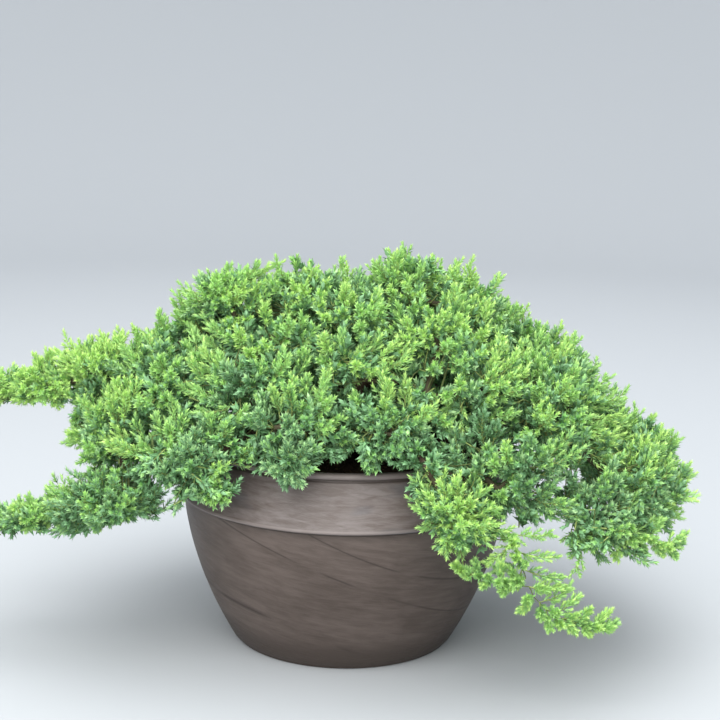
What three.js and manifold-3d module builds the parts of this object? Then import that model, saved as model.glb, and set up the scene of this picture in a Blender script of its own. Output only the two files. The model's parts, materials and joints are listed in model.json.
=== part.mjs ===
// A dwarf spreading juniper in a round bowl pot, in millimetres, +Z up.
// The origin is the middle of the pot's flat underside. +X is the viewer's right, +Y is away from the viewer.
// Azimuths are in degrees from +X towards +Y, so 270 is the side that faces the viewer.
import * as THREE from "three";
import { mergeVertices } from "three/addons/utils/BufferGeometryUtils.js";
import Module from "manifold-3d";

const wasm = await Module();
wasm.setup();

// Clear space between two solids that touch, and the wider space round the pot and round each bough
const gap = 0.4;
const wideGap = 0.6;

// The pot: a bulging bowl under an inward-sloping collar
const pot = {
  baseRadius: 99,
  shoulderRadius: 150,
  shoulderHeight: 138,
  rimRadius: 132,
  height: 183,
  bulge: 0.75,
  collarStep: 3.5,
  collarUnderside: 2.5,
  corner: 2.5,
  wall: 6,
  floor: 7,
  sides: 32,
  bowlSteps: 5,
  insideSteps: 2,
};

// The compost ends below the rim
const soil = { top: 167, shoulderDrop: 3, shoulderWidth: 14 };

// The short stem in the middle of the crown
const trunk = {
  height: 72,
  footRadius: 16,
  topRadius: 9,
  flare: 0.55,
  flareHeight: 14,
  flareLobes: 5,
  lobeDepth: 0.3,
  lean: new THREE.Vector2(12, 9),
  sides: 12,
  steps: 6,
};

// The crown's outline by side: how far it reaches, how low its skirt hangs and how high its curve would peak
const crownSides = [
  { azimuth: 0, reach: 332, skirt: 94, peak: 346 },
  { azimuth: 45, reach: 300, skirt: 122, peak: 345 },
  { azimuth: 90, reach: 268, skirt: 140, peak: 340 },
  { azimuth: 135, reach: 266, skirt: 145, peak: 336 },
  { azimuth: 180, reach: 262, skirt: 190, peak: 332 },
  { azimuth: 205, reach: 272, skirt: 150, peak: 328 },
  { azimuth: 228, reach: 226, skirt: 135, peak: 330 },
  { azimuth: 248, reach: 182, skirt: 178, peak: 336 },
  { azimuth: 270, reach: 168, skirt: 196, peak: 340 },
  { azimuth: 298, reach: 200, skirt: 132, peak: 344 },
  { azimuth: 320, reach: 272, skirt: 94, peak: 346 },
  { azimuth: 340, reach: 323, skirt: 98, peak: 346 },
];
const crownCurve = { bend: 2, fall: 0.62 };

// Rings of foliage masses on that outline, at a fraction of the reach
const tiers = [
  { name: "upper", fraction: 0.42, count: 7, turn: 0.3 },
  { name: "middle", fraction: 0.68, count: 10, turn: 0.5 },
  { name: "skirt", fraction: 0.9, count: 13, turn: 0.1 },
];
const tierInner = 0.16;
const tierOuter = 1.0;
const massSpread = 0.61;
const massDepth = 0.66;

// The mounds on top of the crown and the tuft that stands out of its upper left
const mounds = [
  { name: "mound_left", x: -40, y: -8, top: 346, across: 56, deep: 56, high: 42 },
  { name: "mound_middle", x: 52, y: 12, top: 356, across: 50, deep: 56, high: 46 },
  { name: "mound_right", x: 112, y: 14, top: 332, across: 40, deep: 52, high: 42 },
  { name: "mound_back", x: 4, y: 86, top: 324, across: 70, deep: 50, high: 40 },
  { name: "tuft_left", x: -98, y: -4, top: 334, across: 42, deep: 34, high: 26 },
];

// Sprays that stand out of the crown: each is a row of masses on a bent line, smaller towards its tip
const sprays = [
  {
    name: "arm_high_left",
    line: [[-192, -12, 246], [-262, -14, 229], [-348, -10, 210]],
    count: 3,
    width: [38, 20],
    high: [29, 14],
  },
  {
    name: "arm_low_left",
    line: [[-158, -112, 156], [-256, -84, 126], [-342, -62, 108]],
    count: 2,
    width: [38, 22],
    high: [28, 14],
  },
  {
    name: "hanging_spray",
    line: [[70, -166, 182], [142, -181, 102], [238, -188, 70]],
    count: 4,
    width: [36, 15],
    high: [30, 10],
  },
  {
    name: "rim_tuft",
    line: [[-42, -140, 222], [-43, -148, 200], [-46, -155, 178]],
    count: 1,
    width: [21, 21],
    high: [16, 16],
  },
];
const sprayOverlap = 1.2;

// Boughs: where each leaves the stem, as a fraction of its height, and the point inside the crown it aims at
const boughs = [
  { name: "bough_high_left", height: 0.72, azimuth: 178, reach: 205, rise: 240, arch: 26, radius: 6.5 },
  { name: "bough_low_left", height: 0.42, azimuth: 205, reach: 205, rise: 185, arch: 30, radius: 6 },
  { name: "bough_front_left", height: 0.6, azimuth: 232, reach: 150, rise: 205, arch: 16, radius: 5.5 },
  { name: "bough_front", height: 0.4, azimuth: 262, reach: 130, rise: 212, arch: 10, radius: 5 },
  { name: "bough_hanging", height: 0.5, azimuth: 294, reach: 160, rise: 196, arch: 24, radius: 5.5 },
  { name: "bough_right_front", height: 0.66, azimuth: 334, reach: 220, rise: 190, arch: 34, radius: 6 },
  { name: "bough_right", height: 0.44, azimuth: 2, reach: 250, rise: 185, arch: 40, radius: 6.5 },
  { name: "bough_back_right", height: 0.62, azimuth: 42, reach: 230, rise: 190, arch: 36, radius: 6 },
  { name: "bough_back", height: 0.42, azimuth: 88, reach: 200, rise: 190, arch: 34, radius: 6 },
  { name: "bough_back_left", height: 0.5, azimuth: 140, reach: 205, rise: 190, arch: 34, radius: 6 },
  { name: "leader_left", height: 0.9, azimuth: 190, reach: 60, rise: 290, arch: 0, radius: 5.5 },
  { name: "leader_middle", height: 0.98, azimuth: 20, reach: 50, rise: 300, arch: 0, radius: 6 },
];
const boughTip = 0.5;
const nearUpright = 0.9;
const boughSides = 6;
const boughSteps = 5;

// Volume under which a cut-off piece of a bough counts as a sliver
const leastBough = 300;

// Unevenness of a mass
const lumps = {
  size: 0.32,
  waves: 4,
  slowest: 4.4,
  fastest: 8.4,
  underside: 0.8,
  firstSeed: 17,
  seedStep: 7919,
};
const massFacets = { round: 9, high: 7 };
const smallFacets = { round: 8, high: 6 };

// Small steps that give the crown's slope at a point
const fractionStep = 0.02;
const azimuthStep = 2;

const degrees = Math.PI / 180;
const mix = THREE.MathUtils.lerp;

// A repeatable stream of numbers from 0 to 1
function stream(seed) {
  let state = seed;
  return () => {
    state = (state * 1664525 + 1013904223) >>> 0;
    return state / 4294967296;
  };
}

// A closed three.js geometry as a solid
function solidOf(geometry) {
  const bare = geometry.clone();
  bare.deleteAttribute("normal");
  bare.deleteAttribute("uv");
  const merged = mergeVertices(bare, 1e-4);
  return new wasm.Manifold(
    new wasm.Mesh({
      numProp: 3,
      vertProperties: new Float32Array(merged.attributes.position.array),
      triVerts: new Uint32Array(merged.index.array),
    }),
  );
}

// A solid as a three.js geometry
function geometryOf(solid) {
  const mesh = solid.getMesh();
  const geometry = new THREE.BufferGeometry();
  geometry.setAttribute("position", new THREE.BufferAttribute(new Float32Array(mesh.vertProperties), 3));
  geometry.setIndex(new THREE.BufferAttribute(new Uint32Array(mesh.triVerts), 1));
  geometry.computeVertexNormals();
  return geometry;
}

// The same solid with its skin moved out by a distance
function grown(solid, distance) {
  const geometry = geometryOf(solid);
  const { position, normal } = geometry.attributes;
  for (let i = 0; i < position.count; i += 1) {
    position.setXYZ(
      i,
      position.getX(i) + normal.getX(i) * distance,
      position.getY(i) + normal.getY(i) * distance,
      position.getZ(i) + normal.getZ(i) * distance,
    );
  }
  return solidOf(geometry);
}

function largestBody(solid) {
  return solid.decompose().reduce((best, body) => (body.volume() > best.volume() ? body : best));
}

// Outer radius of the bowl at a height
function bowlRadius(z) {
  const t = z / pot.shoulderHeight;
  const wallTop = pot.shoulderRadius - pot.collarStep;
  return mix(pot.baseRadius, wallTop, t + pot.bulge * t * (1 - t));
}

function turned(profile) {
  const points = profile.map(([radius, z]) => new THREE.Vector2(radius, z));
  return new THREE.LatheGeometry(points, pot.sides).rotateX(Math.PI / 2);
}

// Inner radius of the pot at a height
function insideRadius(z) {
  const shoulder = bowlRadius(pot.shoulderHeight);
  const t = (z - pot.shoulderHeight) / (pot.height - pot.shoulderHeight);
  return (t < 0 ? bowlRadius(z) : mix(shoulder, pot.rimRadius, t)) - pot.wall;
}

// The pot's outside from the middle of its underside to its rim, moved out by a distance
function outsideProfile(out) {
  const profile = [[0, -out], [pot.baseRadius - pot.corner + out, -out]];
  const wallTop = pot.shoulderHeight - pot.collarUnderside;
  for (let i = 0; i <= pot.bowlSteps; i += 1) {
    const z = mix(pot.corner, wallTop, i / pot.bowlSteps);
    profile.push([bowlRadius(z) + out, z]);
  }
  profile.push([pot.shoulderRadius + out, pot.shoulderHeight], [pot.rimRadius + out, pot.height + out]);
  return profile;
}

// The pot's inner wall from its floor to the shoulder, moved in by a distance
function insideProfile(inward) {
  const profile = [];
  for (let i = 0; i <= pot.insideSteps; i += 1) {
    const z = mix(pot.floor, pot.shoulderHeight, i / pot.insideSteps);
    profile.push([insideRadius(z) - inward, Math.max(z, pot.floor + inward)]);
  }
  return profile;
}

function potGeometry() {
  const lip = [pot.rimRadius - pot.wall, pot.height];
  return turned([...outsideProfile(0), lip, ...insideProfile(0).reverse(), [0, pot.floor]]);
}

// Compost follows the pot's inner wall and falls a little towards it at the top
function soilGeometry() {
  const edge = soil.top - soil.shoulderDrop;
  const edgeRadius = insideRadius(edge) - gap;
  const top = [[edgeRadius, edge], [edgeRadius - soil.shoulderWidth, soil.top], [0, soil.top]];
  return turned([[0, pot.floor + gap], ...insideProfile(gap), ...top]);
}

// A round bar bent along a curve, with its own radius at each fraction of the length and angle round it
function limb(curve, radiusAt, roundSides, steps) {
  const bar = mergeVertices(new THREE.CylinderGeometry(1, 1, 1, roundSides, steps).deleteAttribute("uv"));
  const across = new THREE.Vector3();
  const side = new THREE.Vector3();
  const position = bar.attributes.position;
  for (let i = 0; i < position.count; i += 1) {
    const t = position.getY(i) + 0.5;
    const x = position.getX(i);
    const z = position.getZ(i);
    const tangent = curve.getTangent(t);
    const upright = Math.abs(tangent.z) > nearUpright;
    const reference = upright ? new THREE.Vector3(0, 1, 0) : new THREE.Vector3(0, 0, 1);
    across.crossVectors(reference, tangent).normalize();
    side.crossVectors(tangent, across);
    const radius = radiusAt(t, Math.atan2(z, x));
    const point = curve.getPoint(t).addScaledVector(across, z * radius).addScaledVector(side, x * radius);
    position.setXYZ(i, point.x, point.y, point.z);
  }
  return bar;
}

const stemFoot = new THREE.Vector3(0, 0, soil.top + gap);
const stemCurve = new THREE.QuadraticBezierCurve3(
  stemFoot,
  stemFoot.clone().add(new THREE.Vector3(0, 0, trunk.height * 0.5)),
  stemFoot.clone().add(new THREE.Vector3(trunk.lean.x, trunk.lean.y, trunk.height)),
);

function trunkSolid() {
  const radiusAt = (t, angle) => {
    const flare = trunk.flare * Math.exp((-t * trunk.height) / trunk.flareHeight);
    const lobes = 1 + trunk.lobeDepth * Math.cos(trunk.flareLobes * angle);
    return mix(trunk.footRadius, trunk.topRadius, t) * (1 + flare * lobes);
  };
  return solidOf(limb(stemCurve, radiusAt, trunk.sides, trunk.steps));
}

// A bough from the stem's middle line to the point it aims at
function wholeBough(bough) {
  const start = stemCurve.getPoint(bough.height);
  const angle = bough.azimuth * degrees;
  const end = new THREE.Vector3(bough.reach * Math.cos(angle), bough.reach * Math.sin(angle), bough.rise);
  const middle = start.clone().lerp(end, 0.5);
  middle.z += bough.arch;
  const curve = new THREE.QuadraticBezierCurve3(start, middle, end);
  const radiusAt = (t) => bough.radius * mix(1, boughTip, t);
  return solidOf(limb(curve, radiusAt, boughSides, boughSteps));
}

// The crown's outline at an azimuth, blended between the named sides
function crownAt(azimuth) {
  const turn = ((azimuth % 360) + 360) % 360;
  const last = crownSides.length - 1;
  let index = last;
  while (crownSides[index].azimuth > turn) index -= 1;
  const a = crownSides[index];
  const b = crownSides[index === last ? 0 : index + 1];
  const span = (b.azimuth - a.azimuth + 360) % 360;
  const t = 0.5 - 0.5 * Math.cos((Math.PI * (turn - a.azimuth)) / span);
  return { reach: mix(a.reach, b.reach, t), skirt: mix(a.skirt, b.skirt, t), peak: mix(a.peak, b.peak, t) };
}

// A point of the crown's outer skin
function crownPoint(fraction, azimuth) {
  const { reach, skirt, peak } = crownAt(azimuth);
  const height = (1 - fraction ** crownCurve.bend) ** crownCurve.fall;
  const angle = azimuth * degrees;
  return new THREE.Vector3(
    reach * fraction * Math.cos(angle),
    reach * fraction * Math.sin(angle),
    mix(skirt, peak, height),
  );
}

// An uneven closed form: a ball stretched to three half sizes, with lumps of its own and a flatter underside
function massSolid(mass, seed) {
  const next = stream(seed * lumps.seedStep + lumps.firstSeed);
  const waves = [];
  for (let i = 0; i < lumps.waves; i += 1) {
    const direction = new THREE.Vector3(next() - 0.5, next() - 0.5, next() - 0.5).normalize();
    waves.push({ direction, pace: mix(lumps.slowest, lumps.fastest, next()), start: next() * 2 * Math.PI });
  }
  const { round, high } = mass.small ? smallFacets : massFacets;
  const bare = new THREE.SphereGeometry(1, round, high);
  bare.deleteAttribute("normal");
  bare.deleteAttribute("uv");
  const ball = mergeVertices(bare, 1e-4);
  const position = ball.attributes.position;
  const frame = new THREE.Matrix4().makeBasis(mass.along, mass.across, mass.out).setPosition(mass.centre);
  const point = new THREE.Vector3();
  for (let i = 0; i < position.count; i += 1) {
    point.fromBufferAttribute(position, i);
    let swell = 0;
    waves.forEach(({ direction, pace, start }) => {
      swell += Math.sin(pace * point.dot(direction) + start) / lumps.waves;
    });
    point.multiplyScalar(1 + lumps.size * swell);
    if (point.z < 0) point.z *= lumps.underside;
    point.multiply(mass.half).applyMatrix4(frame);
    position.setXYZ(i, point.x, point.y, point.z);
  }
  return solidOf(ball);
}

// Masses of the rings: each lies against the crown's outer skin, with its own outward direction
function tierMasses() {
  const masses = [];
  tiers.forEach((tier, row) => {
    const inner = row === 0 ? tierInner : tiers[row - 1].fraction;
    const outer = row === tiers.length - 1 ? tierOuter : tiers[row + 1].fraction;
    for (let i = 0; i < tier.count; i += 1) {
      const azimuth = ((i + tier.turn) * 360) / tier.count;
      const point = crownPoint(tier.fraction, azimuth);
      const spacing = (2 * Math.PI * Math.hypot(point.x, point.y)) / tier.count;
      const length = crownPoint(outer, azimuth).distanceTo(crownPoint(inner, azimuth)) / 2;
      const further = crownPoint(tier.fraction + fractionStep, azimuth);
      const along = further.sub(crownPoint(tier.fraction - fractionStep, azimuth)).normalize();
      const onward = crownPoint(tier.fraction, azimuth + azimuthStep);
      const ring = onward.sub(crownPoint(tier.fraction, azimuth - azimuthStep));
      const out = new THREE.Vector3().crossVectors(along, ring).normalize();
      const across = new THREE.Vector3().crossVectors(out, along);
      const half = new THREE.Vector3(length * massSpread, spacing * massSpread, 0);
      half.z = Math.sqrt(half.x * half.y) * massDepth;
      const centre = point.clone().addScaledVector(out, -half.z);
      masses.push({ name: `foliage_${tier.name}_${i + 1}`, centre, along, across, out, half });
    }
  });
  return masses;
}

function moundMasses() {
  return mounds.map((mound) => ({
    name: `foliage_${mound.name}`,
    centre: new THREE.Vector3(mound.x, mound.y, mound.top - mound.high),
    along: new THREE.Vector3(1, 0, 0),
    across: new THREE.Vector3(0, 1, 0),
    out: new THREE.Vector3(0, 0, 1),
    half: new THREE.Vector3(mound.across, mound.deep, mound.high),
  }));
}

// Masses strung along a spray's line, smaller towards its tip
function sprayMasses() {
  const masses = [];
  sprays.forEach((spray) => {
    const line = new THREE.CatmullRomCurve3(spray.line.map((point) => new THREE.Vector3(...point)));
    const half = (line.getLength() / (2 * spray.count)) * sprayOverlap;
    for (let i = 0; i < spray.count; i += 1) {
      const along = line.getTangentAt((i + 0.5) / spray.count);
      const across = new THREE.Vector3(-along.y, along.x, 0).normalize();
      const out = new THREE.Vector3().crossVectors(along, across).normalize();
      const t = i / Math.max(1, spray.count - 1);
      masses.push({
        name: spray.count === 1 ? `foliage_${spray.name}` : `foliage_${spray.name}_${i + 1}`,
        centre: line.getPointAt((i + 0.5) / spray.count),
        along,
        across,
        out,
        half: new THREE.Vector3(half, mix(...spray.width, t), mix(...spray.high, t)),
        small: true,
      });
    }
  });
  return masses;
}

// How far a mass reaches from its centre along a direction
function reachAlong(mass, direction) {
  const x = direction.dot(mass.along) / mass.half.x;
  const y = direction.dot(mass.across) / mass.half.y;
  const z = direction.dot(mass.out) / mass.half.z;
  return 1 / Math.hypot(x, y, z);
}

// Two masses that would run into each other are parted by a flat cut between them
function partMasses(masses, solids) {
  const parted = solids.slice();
  for (let i = 0; i < masses.length; i += 1) {
    for (let j = i + 1; j < masses.length; j += 1) {
      if (solids[i].intersect(solids[j]).isEmpty()) continue;
      const line = masses[j].centre.clone().sub(masses[i].centre);
      const distance = line.length();
      line.divideScalar(distance);
      const a = reachAlong(masses[i], line);
      const b = reachAlong(masses[j], line);
      const cut = masses[i].centre.dot(line) + (distance * a) / (a + b);
      parted[i] = parted[i].trimByPlane([-line.x, -line.y, -line.z], -(cut - gap / 2));
      parted[j] = parted[j].trimByPlane([line.x, line.y, line.z], cut + gap / 2);
    }
  }
  return parted;
}

// The room that the pot, its compost and the stem take up, kept clear of foliage
function keepOut(stem) {
  const mouth = pot.rimRadius - pot.wall - wideGap;
  const inside = [[mouth, pot.height + wideGap], [mouth, soil.top + wideGap], [0, soil.top + wideGap]];
  return solidOf(turned([...outsideProfile(wideGap), ...inside])).add(grown(stem, gap));
}

function foliageSolids(masses, room) {
  const rough = masses.map((mass, index) => massSolid(mass, index + 1));
  return partMasses(masses, rough).map((solid) => largestBody(solid.subtract(room)));
}

// The body of a cut solid that comes nearest to a point, slivers left out
function nearestBody(solid, point) {
  const corner = new THREE.Vector3();
  const distance = (body) => {
    const position = geometryOf(body).attributes.position;
    let least = Infinity;
    for (let i = 0; i < position.count; i += 1) {
      least = Math.min(least, corner.fromBufferAttribute(position, i).distanceTo(point));
    }
    return least;
  };
  const bodies = solid.decompose().filter((body) => body.volume() > leastBough);
  return bodies.sort((a, b) => distance(a) - distance(b))[0];
}

// A bough starts on the stem's skin, keeps clear of the boughs before it and ends on the first mass it meets
function boughSolids(stem, foliage) {
  const rooms = [stem, ...foliage].map((solid) => grown(solid, gap));
  return boughs.map((bough) => {
    const cut = rooms.reduce((left, room) => left.subtract(room), wholeBough(bough));
    const body = nearestBody(cut, stemCurve.getPoint(bough.height));
    rooms.push(grown(body, wideGap));
    return body;
  });
}

const potMaterial = new THREE.MeshStandardMaterial({ color: 0x6b5d56, roughness: 0.55, metalness: 0 });
const soilMaterial = new THREE.MeshStandardMaterial({ color: 0x2c231b, roughness: 0.95, metalness: 0 });
const barkMaterial = new THREE.MeshStandardMaterial({ color: 0x6a4a34, roughness: 0.9, metalness: 0 });
const foliageMaterial = new THREE.MeshStandardMaterial({ color: 0x5f8f3c, roughness: 0.7, metalness: 0 });

const plant = new THREE.Group();

function addPart(name, geometry, material) {
  const mesh = new THREE.Mesh(geometry, material.clone());
  mesh.name = name;
  plant.add(mesh);
}

const stem = trunkSolid();
const masses = [...moundMasses(), ...tierMasses(), ...sprayMasses()];
const foliage = foliageSolids(masses, keepOut(stem));

addPart("pot", potGeometry(), potMaterial);
addPart("soil", soilGeometry(), soilMaterial);
addPart("trunk", geometryOf(stem), barkMaterial);
boughSolids(stem, foliage).forEach((solid, index) => {
  addPart(boughs[index].name, geometryOf(solid), barkMaterial);
});
foliage.forEach((solid, index) => {
  addPart(masses[index].name, geometryOf(solid), foliageMaterial);
});

export default plant;
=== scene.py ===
import json
import math

import bpy
import numpy as np
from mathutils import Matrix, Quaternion, Vector, noise
from mathutils.bvhtree import BVHTree
from numpy.linalg import norm

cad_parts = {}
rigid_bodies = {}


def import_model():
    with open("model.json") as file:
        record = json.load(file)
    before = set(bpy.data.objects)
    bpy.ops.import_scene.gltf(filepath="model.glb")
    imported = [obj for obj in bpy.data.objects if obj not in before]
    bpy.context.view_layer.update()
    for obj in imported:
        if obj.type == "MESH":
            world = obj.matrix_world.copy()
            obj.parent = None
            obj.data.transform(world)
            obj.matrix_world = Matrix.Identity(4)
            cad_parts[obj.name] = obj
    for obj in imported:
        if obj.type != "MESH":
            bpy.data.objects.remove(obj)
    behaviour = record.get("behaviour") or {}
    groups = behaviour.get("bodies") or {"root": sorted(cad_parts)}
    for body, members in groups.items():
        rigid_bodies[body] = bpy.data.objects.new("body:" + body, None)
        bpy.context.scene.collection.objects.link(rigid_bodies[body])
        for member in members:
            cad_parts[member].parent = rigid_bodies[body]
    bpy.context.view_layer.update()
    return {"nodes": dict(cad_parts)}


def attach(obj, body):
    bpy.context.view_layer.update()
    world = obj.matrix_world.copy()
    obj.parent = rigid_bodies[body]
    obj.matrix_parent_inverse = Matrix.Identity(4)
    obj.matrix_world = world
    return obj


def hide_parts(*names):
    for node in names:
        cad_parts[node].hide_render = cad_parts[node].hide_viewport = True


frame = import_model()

# A dwarf spreading juniper in a round bowl pot, in metres, +Z up, +X to the viewer's right.
# The stem and boughs get bark, and each foliage solid of the frame is replaced by twigs, sprays
# and needles that grow on from the limbs by seeded rules.

MM = 0.001
UP = np.array([0.0, 0.0, 1.0])
GOLDEN_TURN = math.radians(137.5)
SEED = 11

# The photograph's viewpoint
CAMERA_AT = (0.011, -1.3747, 0.5187)
CAMERA_AIM = (0.011, 0.0, 0.254)
CAMERA_LENS = 78
CAMERA_SENSOR = 36
CAMERA_ROLL = math.radians(1.26)

# How sprays grow on each kind of mass: the room between tips, a spray's least and greatest length, how
# much it turns upward, how much it leans the way its mass does, and how unevenly
HABIT = ("room", "length", "lift", "forward", "wander")
HABITS = {
    "crown": (12.6 * MM, (18 * MM, 30 * MM), 0.35, 0.0, 0.25),
    "skirt": (12.6 * MM, (20 * MM, 34 * MM), 0.25, 0.5, 0.22),
    "plume": (12.8 * MM, (26 * MM, 42 * MM), 0.2, 1.0, 0.2),
    "arm": (8.8 * MM, (14 * MM, 26 * MM), 0.35, 0.9, 0.22),
    "hanging": (11.5 * MM, (18 * MM, 30 * MM), 0.1, 0.9, 0.2),
}
# Masses whose sprays stand along a stem, the share of a mass's length that its middle line takes, where
# the plumes on the right begin, how much masses lean upward, and from which slope on sprays count as the
# underside's, which stand further apart
STRUNG = ("arm", "hanging")
SPINE_SHARE = 0.8
PLUMES_BEYOND = 150 * MM
LEAN_RISE = 0.35
UNDERSIDE = -0.35
UNDERSIDE_ROOM = 1.35

# How widely neighbouring masses flow into one canopy, and the steps that bring a place onto it
BLEND = 11 * MM
BLEND_REACH = 38 * MM
BLEND_STEPS = 6
BLEND_STEP = 9 * MM

# Sprays stand together in tufts: the room between tufts, the share of it where a tuft's edge lies, how far
# in a tuft's common twig starts, up to which share of the way to its mass's middle line, and how far down
TUFT_ROOM = 29 * MM
TUFT_EDGE = 0.62
TUFT_DEPTH = 34 * MM
TUFT_DEEPEST = 0.85
TUFT_DROP = 4 * MM
# How far under the skin a tuft's sprays end in its middle and at its edge, how far tufts stand out or back
# at most, how much their sprays gather at the common twig, and how unevenly single sprays stand
TUFT_TOP = 1 * MM
TUFT_SUNK = 15 * MM
TUFT_STANDS = 5.5 * MM
TUFT_GATHER = 0.45
UNEVEN = 2 * MM

# How far the sprays of strung masses stand out above, how far they are drawn in below, and the shares of
# what tufts stand out and of how their edges are sunk that these masses take
ARM_PROUD = 3 * MM
ARM_UNDER = 4 * MM
ARM_STANDS = 0.4
ARM_SUNK = 0.3

# Darker sprays further in, that close the crown, and short ones that clothe the limbs between two shares
# of a limb's length
INNER_ROOM = 13.8 * MM
ARM_INNER_ROOM = 11.5 * MM
INNER_DEPTH = (12 * MM, 30 * MM)
INNER_LENGTH = (16 * MM, 26 * MM)
CORE_LENGTH = (20 * MM, 30 * MM)
LIMB_SPRAYS = (0.0, 1.12)
LIMB_SPRAY_STEP = 3.0 * MM
LIMB_SPRAY_LENGTH = (14 * MM, 24 * MM)

# The hanging branch's first mass is a bushy spray that leans to the left over the pot
HANGING_START = "foliage_hanging_spray_1"
HANGING_LEAN = (-0.85, -0.35, -0.15)

# Open stems: the points that each follows, and how long its side sprays are at its start and end, in mm
OPEN_STEMS = {
    "hanging": (
        [(133, -171, 148), (145, -179, 120), (153, -183, 101),
         (167, -186, 87), (188, -188, 79), (207, -189, 76)],
        (33, 19),
    ),
    "hanging_left": ([(141, -182, 108), (118, -187, 113), (98, -189, 121)], (15, 12)),
    "lower_right": ([(225, -118, 140), (252, -115, 128), (274, -111, 119)], (33, 19)),
    "arm_low": ([(-200, -101, 143), (-250, -88, 128), (-302, -74, 117)], (24, 17)),
    "arm_high": ([(-190, -24, 244), (-245, -24, 233), (-300, -16, 221)], (24, 17)),
}
# The room between an open stem's side sprays, the lower ones' share of that length at its start and end,
# the share of the sprays between them, and the angles that they leave at
OPEN_STEP = 7.6 * MM
OPEN_LOWER = (0.75, 0.5)
OPEN_BETWEEN = 0.5
OPEN_ANGLE = (math.radians(76), math.radians(34))

# Openings of the crown, seen from the front: both ends of each one's line, and how far from it nothing
# grows, in mm
OPENINGS = [
    ((200, -170, 154), (230, 20, 96), 17),
    ((-140, -60, 326), (-153, 50, 310), 11),
    ((49, -200, 198), (52, -120, 178), 8),
]

# Candidate places for each square metre of skin, and how open a place of an outer spray has to be
SKIN_SAMPLES = 1.6e4
LEAST_OPEN = 0.4

# How open a place is: from how far above it, how far out and how far aside one looks for something near
LOOK_FROM = 5 * MM
LOOK_REACH = 120 * MM
LOOK_ASIDE = math.radians(50)

# Where a limb's bark starts and ends, past its solid's ends, and from where on twigs leave it, as shares
# of its length, and the room between the places that they leave it from
LIMB_ENDS = (-0.08, 1.12)
TWIGS_FROM = 0.35
LIMB_STEP = 10 * MM

# Twigs branch deep in the crown too: the room between those places, the share of the way from a spray's
# base to its mass's middle line where they lie, and how far down
DEEP_ROOM = 26 * MM
DEEP_SHARE = 0.55
DEEP_DROP = 3 * MM

# What a twig's turn and the way back to the limb add to its cost
TURN_PRICE = 0.35
WAY_PRICE = 0.2

# A twig's radius at a spray, how radii add up where twigs join, and the limits
TWIG_RADIUS = 0.55 * MM
TWIG_POWER = 2.4
TWIG_THICK = 0.9 * MM
TWIG_THICKEST = 3.0 * MM

# Twigs avoid the open air beyond the pot's rim: how far out that starts, how far a twig's middle may stand
# out of the foliage, how many other starts are tried and what each metre in the open adds to a twig's cost
OPEN_BEYOND = 120 * MM
OPEN_LEAST = 2 * MM
OPEN_CHOICES = 24
OPEN_PRICE = 6.0

# The pot, as the frame's solid has it
POT_BASE, POT_SHOULDER, POT_RIM, POT_HEIGHT = 99 * MM, 150 * MM, 132 * MM, 183 * MM
COLLAR_FOOT = 138 * MM
COLLAR_STEP = 3.5 * MM
POT_BULGE = 0.75
POT_WALL = 6 * MM
POT_FLOOR = 7 * MM
POT_SEGMENTS = 144
SMEAR_SLOPE = math.radians(9)
LINE_SLOPE = math.radians(25)
FOOT_SHADE = 16 * MM
COMPOST_TOP = 167 * MM
CRUMBS = 900
CRUMB_SIZE = (1 * MM, 3 * MM)
CRUMB_COLOURS = [(0.05, 0.032, 0.02), (0.09, 0.055, 0.03), (0.025, 0.018, 0.013)]

# The bark's relief on the trunk and on the other limbs, and the colours of thinner wood
TRUNK_BARK = {"sides": 44, "depth": 1.1 * MM, "grain": 2.2}
LIMB_BARK = {"sides": 16, "depth": 0.5 * MM, "grain": 1.5}
OLD_WOOD = (0.070, 0.062, 0.034)
YOUNG_WOOD = (0.14, 0.18, 0.06)
GREEN_SHOOT = (0.30, 0.38, 0.12)

# The stage: a pale floor under a soft sky and three large lamps: name, place, size, power and colour
FLOOR_COLOUR = (0.40, 0.42, 0.44)
FLOOR_FLAT = 2.6
FLOOR_EDGE = 5.0
FLOOR_RISE = 3.2
SKY_COLOUR = (0.93, 0.96, 1.0)
SKY_STRENGTH = 1.4
LIGHTS_AIM = (0, 0, 0.25)
LIGHTS = [
    ("key", (-0.55, -2.1, 1.7), 3.4, 108, (1.0, 0.98, 0.94)),
    ("top", (0.3, -0.1, 2.6), 2.8, 45, (1.0, 1.0, 0.98)),
    ("back", (-0.2, 1.5, 2.7), 3.2, 10, (1.0, 1.0, 1.0)),
]

# A spray is a leading shoot with side shoots between two shares of its length, each set with whorls of
# three needles but for its bare foot. Side shoots have SIDE_LENGTH at their lowest and highest place on a
# spray of USUAL_SPRAY length.
SIDE_FROM, SIDE_TO = 0.15, 0.95
SIDE_BARE, LEADER_BARE = 0.16, 0.5
USUAL_SPRAY = 34 * MM
SIDE_LENGTH = (13 * MM, 8 * MM)
SIDE_ANGLE = (math.radians(52), math.radians(30))
OUTER_SPRAY = {
    "shoots": 10, "side": 1.0, "whorls": 5, "leader": 6, "width": 1.75 * MM, "needle": (6.0 * MM, 4.7 * MM)
}
OPEN_SPRAY = {
    "shoots": 9, "side": 0.8, "whorls": 6, "leader": 9, "width": 1.6 * MM, "needle": (5.2 * MM, 4.2 * MM)
}
INNER_SPRAY = {
    "shoots": 4, "side": 1.1, "whorls": 3, "leader": 5, "width": 3.6 * MM, "needle": (8.2 * MM, 6.6 * MM)
}
NEEDLE_ANGLE = (math.radians(46), math.radians(20))
NEEDLE_WIDEST = 0.35
NEEDLE_KEEL = 0.3
SHOOT_RADIUS = 0.45 * MM

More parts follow.
